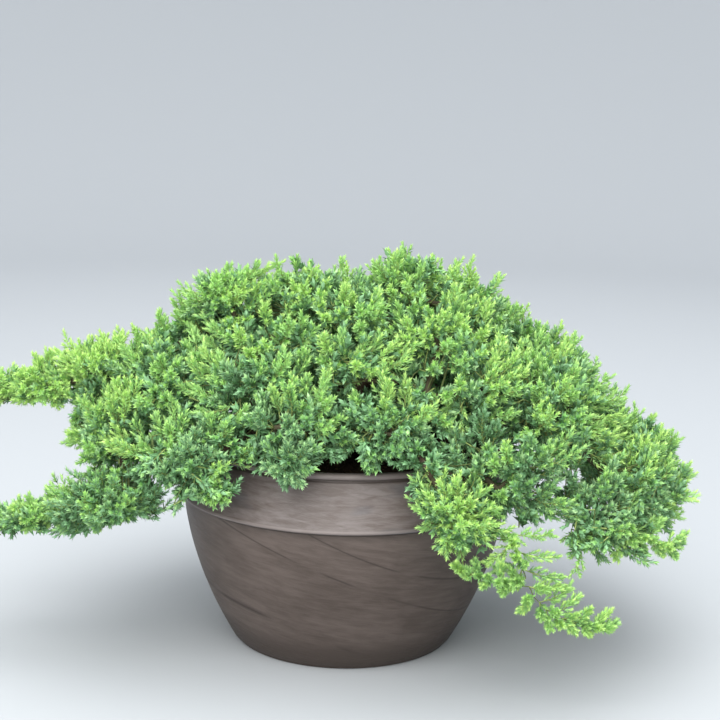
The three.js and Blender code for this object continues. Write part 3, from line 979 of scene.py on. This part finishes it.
def grow_network(limbs, outer, inner, stem_places, tree):
    """Joins every spray to the limbs by twigs: each place in turn grows from where it costs least."""
    starts, headings = [], []
    for limb in limbs.values():
        share = np.arange(TWIGS_FROM, LIMB_ENDS[1], LIMB_STEP / limb["length"])
        starts.append(limb_points(limb, share))
        headings.append(limb_directions(limb, share))
    starts, headings = np.concatenate(starts), np.concatenate(headings)
    deep = mix(outer["base"], outer["spine"], DEEP_SHARE) - DEEP_DROP * UP
    deep = np.concatenate([stem_places, deep[thin_order(deep, DEEP_ROOM)]])
    bases = np.concatenate([outer["base"], inner["base"]])
    aims = np.concatenate([part["middle"] - part["base"] for part in (outer, inner)])
    places = np.concatenate([starts, deep, outer["roots"], bases])
    first_grown, first_base = len(starts), len(places) - len(bases)
    count = len(places)
    parent = np.full(count, -1)
    path = np.zeros(count)
    heading = np.concatenate([headings, np.zeros((count - len(starts), 3))])
    cost = np.full(count, np.inf)
    attached = np.zeros(count, bool)

    def asked(start, end):
        """What a twig from one place to another costs: its length, its turn and the way it has come."""
        line = places[end] - places[start]
        distance = norm(line, axis=-1)
        turn = 1 - (line * heading[start]).sum(-1) / np.maximum(distance, 1e-9)
        return distance * (1 + TURN_PRICE * turn) + WAY_PRICE * (path[start] + distance)

    def offer(index):
        price = asked(index, slice(None))
        better = (price < cost) & ~attached
        cost[better] = price[better]
        parent[better] = index

    def in_the_open(start, end):
        """How far the middle of a twig would stand out of the foliage beyond the pot's rim."""
        middle = (places[start] + places[end]) / 2
        return stands_out(middle, tree) if beyond_rim(middle) else 0.0

    def sheltered_parent(index):
        """The cheapest start for a twig, when the open air that it crosses is counted too."""
        first = parent[index]
        if in_the_open(first, index) < OPEN_LEAST:
            return first
        grown = np.flatnonzero(attached[:first_base])
        price = asked(grown, index)
        near = np.argsort(price)[:OPEN_CHOICES]
        return grown[min(near, key=lambda k: price[k] + OPEN_PRICE * in_the_open(grown[k], index))]

    attached[:first_grown] = True
    for index in range(first_grown):
        offer(index)
    for _ in range(count - first_grown):
        index = int(np.where(attached, np.inf, cost).argmin())
        parent[index] = sheltered_parent(index)
        attached[index] = True
        step = places[index] - places[parent[index]]
        path[index] = path[parent[index]] + norm(step)
        heading[index] = unit(step)
        if index < first_base:
            offer(index)
    heading[first_base:] = unit(aims)
    return {
        "places": places,
        "parent": parent,
        "heading": heading,
        "first_grown": first_grown,
        "first_base": first_base,
        "path": path,
    }


def twig_radii(network):
    """Each twig's radius from the sprays that it carries."""
    load = np.zeros(len(network["places"]))
    load[network["first_base"] :] = TWIG_RADIUS**TWIG_POWER
    for index in np.argsort(-network["path"]):
        if network["parent"][index] >= 0:
            load[network["parent"][index]] += load[index]
    return np.clip(load ** (1 / TWIG_POWER), TWIG_RADIUS, TWIG_THICKEST)


def bent_paths(start, end, leave, arrive, rings):
    """Curves between points that leave and arrive in given directions."""
    span = norm(end - start, axis=1)[:, None]
    straight = unit(end - start)
    leave, arrive = (
        way * span * np.clip(0.5 + 0.5 * (way * straight).sum(1, keepdims=True), 0.1, 1)
        for way in (leave, arrive)
    )
    share = np.linspace(0, 1, rings)[None, :, None]
    return (
        (2 * share**3 - 3 * share**2 + 1) * start[:, None]
        + (share**3 - 2 * share**2 + share) * leave[:, None]
        + (3 * share**2 - 2 * share**3) * end[:, None]
        + (share**3 - share**2) * arrive[:, None]
    )


def straighten(paths, tree):
    """The same curves, drawn straight where one would bulge out of the foliage beyond the pot's rim."""
    straight = mix(paths[:, :1], paths[:, -1:], np.linspace(0, 1, paths.shape[1])[None, :, None])
    for i, path in enumerate(paths):
        if any(beyond_rim(point) and stands_out(point, tree) > OPEN_LEAST for point in path[1:-1]):
            paths[i] = straight[i]
    return paths


def build_twigs(network, tree):
    """The twigs as tubes, thick ones six-sided and thin ones three-sided."""
    places, parent, heading = network["places"], network["parent"], network["heading"]
    radius = twig_radii(network)
    child = np.arange(network["first_grown"], len(places))
    thick = radius[child] > TWIG_THICK
    for name, mine, sides, rings, material in (
        ("branchlets", child[thick], 6, 6, plain_material("old_bark", OLD_WOOD, 0.85)),
        ("twigs", child[~thick], 3, 3, plain_material("young_bark", YOUNG_WOOD, 0.75)),
    ):
        start, end = places[parent[mine]], places[mine]
        leave = unit(0.4 * heading[parent[mine]] + 0.6 * unit(end - start))
        paths = straighten(bent_paths(start, end, leave, heading[mine], rings), tree)
        widest = np.minimum(radius[parent[mine]], radius[mine] * 1.25)
        radii = mix(widest[:, None], radius[mine][:, None], np.linspace(0, 1, rings)[None])
        points, faces = tubes(paths, radii, sides)
        add_piece(name, points, faces, [material])


# Needles

def shoot_needles(curve, whorls, first, form, rng):
    """Needles round many bent shoots: points, triangles and each needle's place along its shoot."""
    count = len(curve[0])
    share = mix(first, 1.0, np.linspace(0, 1, whorls) ** 0.82)[None, :]
    share = np.clip(share + rng.normal(0, 0.012, (count, whorls)), 0, 1)
    place, along, side, across = stations([part[:, None] for part in curve], share, rng)
    turn = np.arange(3) * 2 * math.pi / 3 + (np.arange(whorls) % 2)[:, None] * math.pi / 3
    turn = turn[None] + rng.normal(0, 0.22, (count, whorls, 3))
    around = round_about(side[:, :, None], across[:, :, None], turn)
    far = share[..., None]
    lean = mix(*NEEDLE_ANGLE, far**1.4) * rng.uniform(0.8, 1.2, turn.shape)
    length = mix(*form["needle"], far**1.2) * rng.uniform(0.82, 1.15, turn.shape)
    length, lean = length[..., None], lean[..., None]
    pointing = along[:, :, None] * np.cos(lean) + around * np.sin(lean)
    edge = unit(np.cross(pointing, around))
    back = np.cross(edge, pointing)
    root = place[:, :, None] + around * SHOOT_RADIUS * 0.6
    end = root + pointing * length
    waist = root + pointing * length * NEEDLE_WIDEST - back * form["width"] * NEEDLE_KEEL
    half = edge * form["width"] / 2
    points = np.stack([root, waist + half, end, waist - half], -2).reshape(-1, 3)
    first_point = np.arange(len(points) // 4)[:, None, None] * 4
    faces = (first_point + np.array([[0, 1, 2], [0, 2, 3]])[None]).reshape(-1, 3)
    return points, faces, np.broadcast_to(far, turn.shape)


def side_shoots(sprays, form, rng):
    """Side shoots wound round each spray's leading shoot, shorter and steeper towards its tip."""
    count, number = len(sprays["base"]), form["shoots"]
    order = np.arange(number)
    share = mix(SIDE_FROM, SIDE_TO, (order + rng.uniform(-0.3, 0.3, (count, number))) / (number - 1))
    share = np.clip(share, 0.05, 0.97)
    start, along, side, across = stations([sprays[key][:, None] for key in CURVE], share, rng)
    turn = order * GOLDEN_TURN + rng.uniform(0, 2 * math.pi, (count, 1)) + rng.normal(0, 0.3, share.shape)
    around = round_about(side, across, turn)
    scale = form["side"] * (sprays["length"] / USUAL_SPRAY) ** 0.7
    length = mix(*SIDE_LENGTH, share) * scale[:, None] * rng.uniform(0.75, 1.2, share.shape)
    lean = mix(*SIDE_ANGLE, share) * rng.uniform(0.8, 1.2, share.shape)
    lean, length = lean[..., None], length[..., None]
    leave = along * np.cos(lean) + around * np.sin(lean)
    arrive = unit(leave + 0.6 * along + 0.35 * UP)
    middle = start + leave * length * 0.5
    return start, middle, middle + arrive * length * 0.5


def dress_outer(masses, sprays, rng):
    """The row of SPRAY_DRESS that each spray takes: fresher where more light comes in, painted lighter
    where it is open and faces up, painted darker towards a tuft's edge, and lighter or darker by its
    mass's painted light.
    """
    tuft_mood = rng.normal(0, TUFT_MOOD, len(sprays["roots"]))[sprays["tuft"]]
    fresh_and_lit = (
        OPEN_FRESH_AND_LIT * sprays["free"]
        + UP_FRESH_AND_LIT * np.clip(sprays["normal"][:, 2], -0.5, 1)
        + MIDDLE_LIT_EDGE_SHADED * (0.9 - sprays["edge"])
        + tuft_mood
        + by_owner(masses, sprays["owner"], "fresh_and_lit")
        + rng.normal(0, SPRAY_MOOD, len(sprays["free"]))
    )
    return (fresh_and_lit[:, None] < DRESS_FROM).sum(1)


def needle_kinds(dress, far):
    """Each needle's colour, from its spray's dress and its place along the shoot."""
    names = list(NEEDLE_COLOURS)
    chart = np.array([[names.index(name) for name in row] for row in SPRAY_DRESS])
    part = np.where(far > TIP_FROM, 0, np.where(far > MIDDLE_FROM, 1, 2))
    return chart[dress, part]


def spray_needles(sprays, form, dress, rng):
    """The needles of whole sprays: points, triangles and colours, and the side shoots that carry them."""
    shoots = [part.reshape(-1, 3) for part in side_shoots(sprays, form, rng)]
    side = shoot_needles(shoots, form["whorls"], SIDE_BARE, form, rng)
    lead = shoot_needles([sprays[key] for key in CURVE], form["leader"], LEADER_BARE, form, rng)
    kinds = [
        needle_kinds(np.repeat(dress, form["shoots"])[:, None, None], side[2]),
        needle_kinds(dress[:, None, None], lead[2]),
    ]
    points = np.concatenate([side[0], lead[0]])
    faces = np.concatenate([side[1], lead[1] + len(side[0])])
    kinds = np.repeat(np.concatenate([k.ravel() for k in kinds]), 2)
    return points, faces, kinds, shoots


def share_out(masses):
    """The pieces that the outer needles are joined into, by where their masses stand."""
    words = {
        "needles_top": ("mound", "tuft_left", "upper"),
        "needles_arms": ("arm", "hanging_spray_1", "rim_tuft"),
        "needles_middle": ("middle",),
        "needles_skirt": ("skirt",),
    }
    groups = {}
    for index, mass in enumerate(masses):
        word = mass["name"].removeprefix("foliage_")
        if mass["open"]:
            continue
        piece = next(key for key, starts in words.items() if word.startswith(starts))
        if piece in ("needles_middle", "needles_skirt"):
            piece += "_left" if mass["centre"][0] < 0 else "_right"
        if "skirt" in piece:
            piece += "_front" if mass["centre"][1] < 0 else "_back"
        groups.setdefault(piece, []).append(index)
    return groups


def build_needles(masses, outer, inner, on_stems, core, on_limbs, rng):
    """The needles, joined by place or kind. The inner kinds of sprays replace no solids."""
    colours = [plain_material(f"needle_{k}", colour, 0.65, 0.12) for k, colour in NEEDLE_COLOURS.items()]
    dress = dress_outer(masses, outer, rng)
    stems = []

    def grow(piece, sprays, replaced, form, rows):
        points, faces, kinds, shoots = spray_needles(sprays, form, rows, rng)
        add_piece(piece, points, faces, colours, replaced, kinds)
        stems.append((sprays, None if form is INNER_SPRAY else shoots))

    for piece, members in share_out(masses).items():
        mine = np.isin(outer["owner"], members)
        grow(piece, pick(outer, mine), [masses[i]["name"] for i in members], OUTER_SPRAY, dress[mine])
    stem_masses = [mass["name"] for mass in masses if mass["open"]]
    for piece, sprays, replaced, form, rows, odds in (
        ("needles_open_stems", on_stems, stem_masses, OPEN_SPRAY, STEM_ROWS, (0.15, 0.25, 0.35, 0.25)),
        ("needles_inner", inner, (), INNER_SPRAY, INNER_ROWS, (0.3, 0.35, 0.35)),
        ("needles_core", core, (), INNER_SPRAY, INNER_ROWS, (0.1, 0.4, 0.5)),
        ("needles_on_limbs", on_limbs, (), INNER_SPRAY, INNER_ROWS, (0.15, 0.4, 0.45)),
    ):
        grow(piece, sprays, replaced, form, rng.choice(rows, len(sprays["base"]), p=odds))
    build_shoots(stems)


def build_shoots(stems):
    """The green stems that the needles sit on, three-sided, with side shoots only where they show."""
    points, faces, offset = [], [], 0
    for sprays, shoots in stems:
        count = len(sprays["base"])
        reach = np.linspace(0, 0.9, 3)[None].repeat(count, 0)
        leaders = bend_point(*(sprays[key][:, None] for key in CURVE), reach)
        bars = [(leaders, np.full(leaders.shape[:2], SHOOT_RADIUS * 1.3))]
        if shoots:
            start, middle, tip = shoots
            sides = np.stack([start, mix(middle, tip, 0.6)], 1)
            bars.append((sides, np.array([[SHOOT_RADIUS, SHOOT_RADIUS * 0.6]]).repeat(len(sides), 0)))
        for paths, radii in bars:
            p, f = tubes(paths, radii, 3)
            points.append(p)
            faces.append(f + offset)
            offset += len(p)
    green = plain_material("green_shoot", GREEN_SHOOT, 0.6)
    add_piece("green_shoots", np.concatenate(points), np.concatenate(faces), [green])


# The pot and its compost

def bowl_radius(z):
    """The bowl's outer radius at a height below the collar."""
    t = z / COLLAR_FOOT
    return mix(POT_BASE, POT_SHOULDER - COLLAR_STEP, t + POT_BULGE * t * (1 - t))


def arc(centre, radius, start, end, steps):
    """Profile points on an arc, angles in degrees from outward to up."""
    angles = np.radians(np.linspace(start, end, steps))
    return [(centre[0] + radius * math.cos(a), centre[1] + radius * math.sin(a)) for a in angles]


def pot_profile():
    """Radius and height pairs from the middle of the underside, up the outside and down the inside."""
    corner, lip, bead = 2.5 * MM, 1.6 * MM, 2.7 * MM
    profile = [(20 * MM, 0), (60 * MM, 0)]
    profile += arc((POT_BASE - corner, corner), corner, -90, -12, 5)
    profile += [(bowl_radius(z), z) for z in np.linspace(4 * MM, COLLAR_FOOT - 3.2 * MM, 26)]
    profile += arc((POT_SHOULDER - lip, COLLAR_FOOT - 0.4 * MM), lip, -80, 55, 7)
    slope_top = (POT_RIM + 0.7 * MM, POT_HEIGHT - 7.3 * MM)
    slope_foot = profile[-1]
    slope = mix(np.array(slope_foot), np.array(slope_top), np.linspace(0.08, 0.97, 12)[:, None])
    profile += [*map(tuple, slope), slope_top]
    profile += [(POT_RIM - 0.5 * MM, POT_HEIGHT - 6.6 * MM), (POT_RIM - 0.9 * MM, POT_HEIGHT - 5.6 * MM)]
    profile += arc((POT_RIM - bead + 1.2 * MM, POT_HEIGHT - bead), bead, -55, 90, 8)
    inner = POT_RIM - POT_WALL
    profile += arc((inner + 1.5 * MM, POT_HEIGHT - 1.5 * MM), 1.5 * MM, 90, 180, 4)
    profile += [(bowl_radius(COLLAR_FOOT) - POT_WALL, COLLAR_FOOT)]
    profile += [(bowl_radius(z) - POT_WALL, z) for z in np.linspace(110 * MM, POT_FLOOR, 6)]
    profile += [(60 * MM, POT_FLOOR), (20 * MM, POT_FLOOR)]
    return np.array(profile)


def lathe(profile, segments):
    """A closed turned body as triangles, with a middle point at both ends of the profile."""
    angle = np.arange(segments) * 2 * math.pi / segments
    ring = np.stack([np.cos(angle), np.sin(angle)], 1)
    heights = np.broadcast_to(profile[:, None, 1:], (len(profile), segments, 1))
    points = np.concatenate([profile[:, None, :1] * ring[None], heights], 2).reshape(-1, 3)
    quads = grid_faces(len(profile), segments)
    faces = np.concatenate([quads[:, [0, 1, 2]], quads[:, [0, 2, 3]]])
    first, last = len(points), len(points) + 1
    points = np.vstack([points, [0, 0, profile[0, 1]], [0, 0, profile[-1, 1]]])
    side = np.arange(segments)
    onward = (side + 1) % segments
    top = (len(profile) - 1) * segments
    start = np.stack([onward, side, np.full(segments, first)], 1)
    end = np.stack([top + side, top + onward, np.full(segments, last)], 1)
    return points, np.concatenate([faces, start, end])


def build_pot():
    points, faces = lathe(pot_profile(), POT_SEGMENTS)
    add_piece("bowl_pot", points, faces, [pot_material()], ["pot"])


def build_compost(rng):
    """Compost that fills the bowl, lumpy on top, with loose crumbs."""
    gap = POT_WALL + 0.5 * MM
    edge = mix(bowl_radius(COLLAR_FOOT), POT_RIM, 0.55) - POT_WALL - 1.0 * MM
    side = [(bowl_radius(z) - gap, z) for z in np.linspace(POT_FLOOR + 0.5 * MM, COLLAR_FOOT, 6)]
    top = [(r, COMPOST_TOP - 3 * MM * (r / edge) ** 6) for r in np.linspace(edge, 4 * MM, 34)]
    points, faces = lathe(np.array([(20 * MM, POT_FLOOR + 0.5 * MM), *side, *top]), 96)
    for i in np.flatnonzero(points[:, 2] > COLLAR_FOOT + 5 * MM):
        place = Vector(points[i])
        points[i, 2] += 1.6 * MM * noise.noise(place * 70) + 1.2 * MM * noise.noise(place * 220)
    add_piece("compost", points, faces, [compost_material()], ["soil"])
    add_crumbs(edge - 3 * MM, rng)


def add_crumbs(reach, rng):
    """Loose crumbs on the compost: uneven flattened octahedra, each turned its own way."""
    far = np.sqrt(rng.random(CRUMBS)) * reach
    angle = rng.uniform(0, 2 * math.pi, CRUMBS)
    height = np.full(CRUMBS, COMPOST_TOP + 0.3 * MM)
    place = np.stack([far * np.cos(angle), far * np.sin(angle), height], 1)
    corners = np.array([[1, 0, 0], [-1, 0, 0], [0, 1, 0], [0, -1, 0], [0, 0, 1], [0, 0, -1]], float)
    sizes = rng.uniform(0.7, 1.0, (CRUMBS, 6, 1)) * rng.uniform(*CRUMB_SIZE, (CRUMBS, 1, 1))
    turn = np.linalg.qr(rng.normal(0, 1, (CRUMBS, 3, 3)))[0]
    squash = np.array([1.0, 0.7, 0.45])
    points = ((corners[None] * sizes * squash) @ turn + place[:, None]).reshape(-1, 3)
    sides = [[0, 2, 4], [2, 1, 4], [1, 3, 4], [3, 0, 4], [2, 0, 5], [1, 2, 5], [3, 1, 5], [0, 3, 5]]
    faces = np.array(sides)[None] + np.arange(CRUMBS)[:, None, None] * 6
    mirrored = np.linalg.det(turn) < 0
    faces[mirrored] = faces[mirrored][..., ::-1]
    faces = faces.reshape(-1, 3)
    browns = [plain_material(f"crumb_{i}", c, 0.95, 0.15) for i, c in enumerate(CRUMB_COLOURS)]
    kinds = np.repeat(rng.integers(0, len(browns), CRUMBS), 8)
    add_piece("compost_crumbs", points, faces, browns, (), kinds, False)


# The stage

def add_floor():
    """A flat floor that rises softly all round, so that it has no horizon."""
    bend = np.linspace(0, 1, 24)
    far = np.concatenate([[0.4, 1.2], mix(FLOOR_FLAT, FLOOR_EDGE, bend)])
    height = np.concatenate([[0, 0], FLOOR_RISE * bend**2.4])
    points, faces = lathe(np.stack([far, height], 1)[::-1], 128)
    open_end = (faces == len(points) - 2).any(1)
    pale = plain_material("pale_floor", FLOOR_COLOUR, 0.85, 0.2)
    add_mesh("floor", points, faces[~open_end][:, ::-1], [pale])


def add_light(name, place, size, power, colour):
    data = bpy.data.lights.new(name, "AREA")
    data.shape = "DISK"
    data.size = size
    data.energy = power
    data.color = colour
    light = new_object(name, data)
    light.location = place
    light.rotation_euler = (Vector(LIGHTS_AIM) - Vector(place)).to_track_quat("-Z", "Y").to_euler()


def add_world():
    world = bpy.data.worlds.new("studio")
    world.use_nodes = True
    background = world.node_tree.nodes["Background"]
    background.inputs["Color"].default_value = (*SKY_COLOUR, 1)
    background.inputs["Strength"].default_value = SKY_STRENGTH
    bpy.context.scene.world = world


def add_camera():
    data = bpy.data.cameras.new("camera")
    data.lens = CAMERA_LENS
    data.sensor_width = CAMERA_SENSOR
    camera = new_object("camera", data)
    camera.location = CAMERA_AT
    look = (Vector(CAMERA_AIM) - Vector(CAMERA_AT)).to_track_quat("-Z", "Y")
    camera.rotation_mode = "QUATERNION"
    camera.rotation_quaternion = look @ Quaternion((0, 0, 1), CAMERA_ROLL)
    bpy.context.scene.camera = camera


def add_stage():
    add_camera()
    add_world()
    add_floor()
    for name, place, size, power, colour in LIGHTS:
        add_light(name, place, size, power, colour)
    bpy.context.scene.view_settings.view_transform = "Standard"


def grow_plant():
    rng = np.random.default_rng(SEED)
    masses = read_masses()
    solids = [*(mass["name"] for mass in masses), "pot", "soil"]
    blockers = tree_of(np.concatenate([node_triangles(name) for name in solids]))
    foliage = tree_of(np.concatenate([mass["triangles"] for mass in masses]))
    candidates = skin_points(masses, rng)
    bushy = ~by_owner(masses, candidates[2], "open")
    candidates = [rows[bushy] for rows in candidates]
    strung = by_owner(masses, candidates[2], "strung")
    spread = np.where(candidates[1][:, 2] < UNDERSIDE, UNDERSIDE_ROOM, 1)
    rooms = habit_of(masses, candidates[2], "room")[:, 0] * spread
    outer_places = choose_places(candidates, rooms, blockers, LEAST_OPEN)
    outer = lay_outer_sprays(masses, outer_places, foliage, rng)
    inner_rooms = spread * np.where(strung, ARM_INNER_ROOM, INNER_ROOM)
    inner_places = choose_places(candidates, inner_rooms, blockers, 0.0)
    inner = lay_inner_sprays(masses, inner_places, foliage, rng)
    stems = [lay_open_sprays(stops, lengths, rng) for stops, lengths in OPEN_STEMS.values()]
    on_stems = {key: np.concatenate([stem[key] for stem in stems]) for key in stems[0]}
    bark, foot = bark_material(), trunk_foot()
    build_trunk(bark, foot)
    limbs = build_limbs(bark, foot)
    on_limbs = lay_limb_sprays(limbs, rng)
    build_twigs(grow_network(limbs, outer, inner, on_stems["stem"], foliage), foliage)
    core = lay_core_sprays(outer, foliage, rng)
    build_needles(masses, outer, inner, on_stems, core, on_limbs, rng)


add_stage()
build_pot()
build_compost(np.random.default_rng(SEED + 1))
grow_plant()
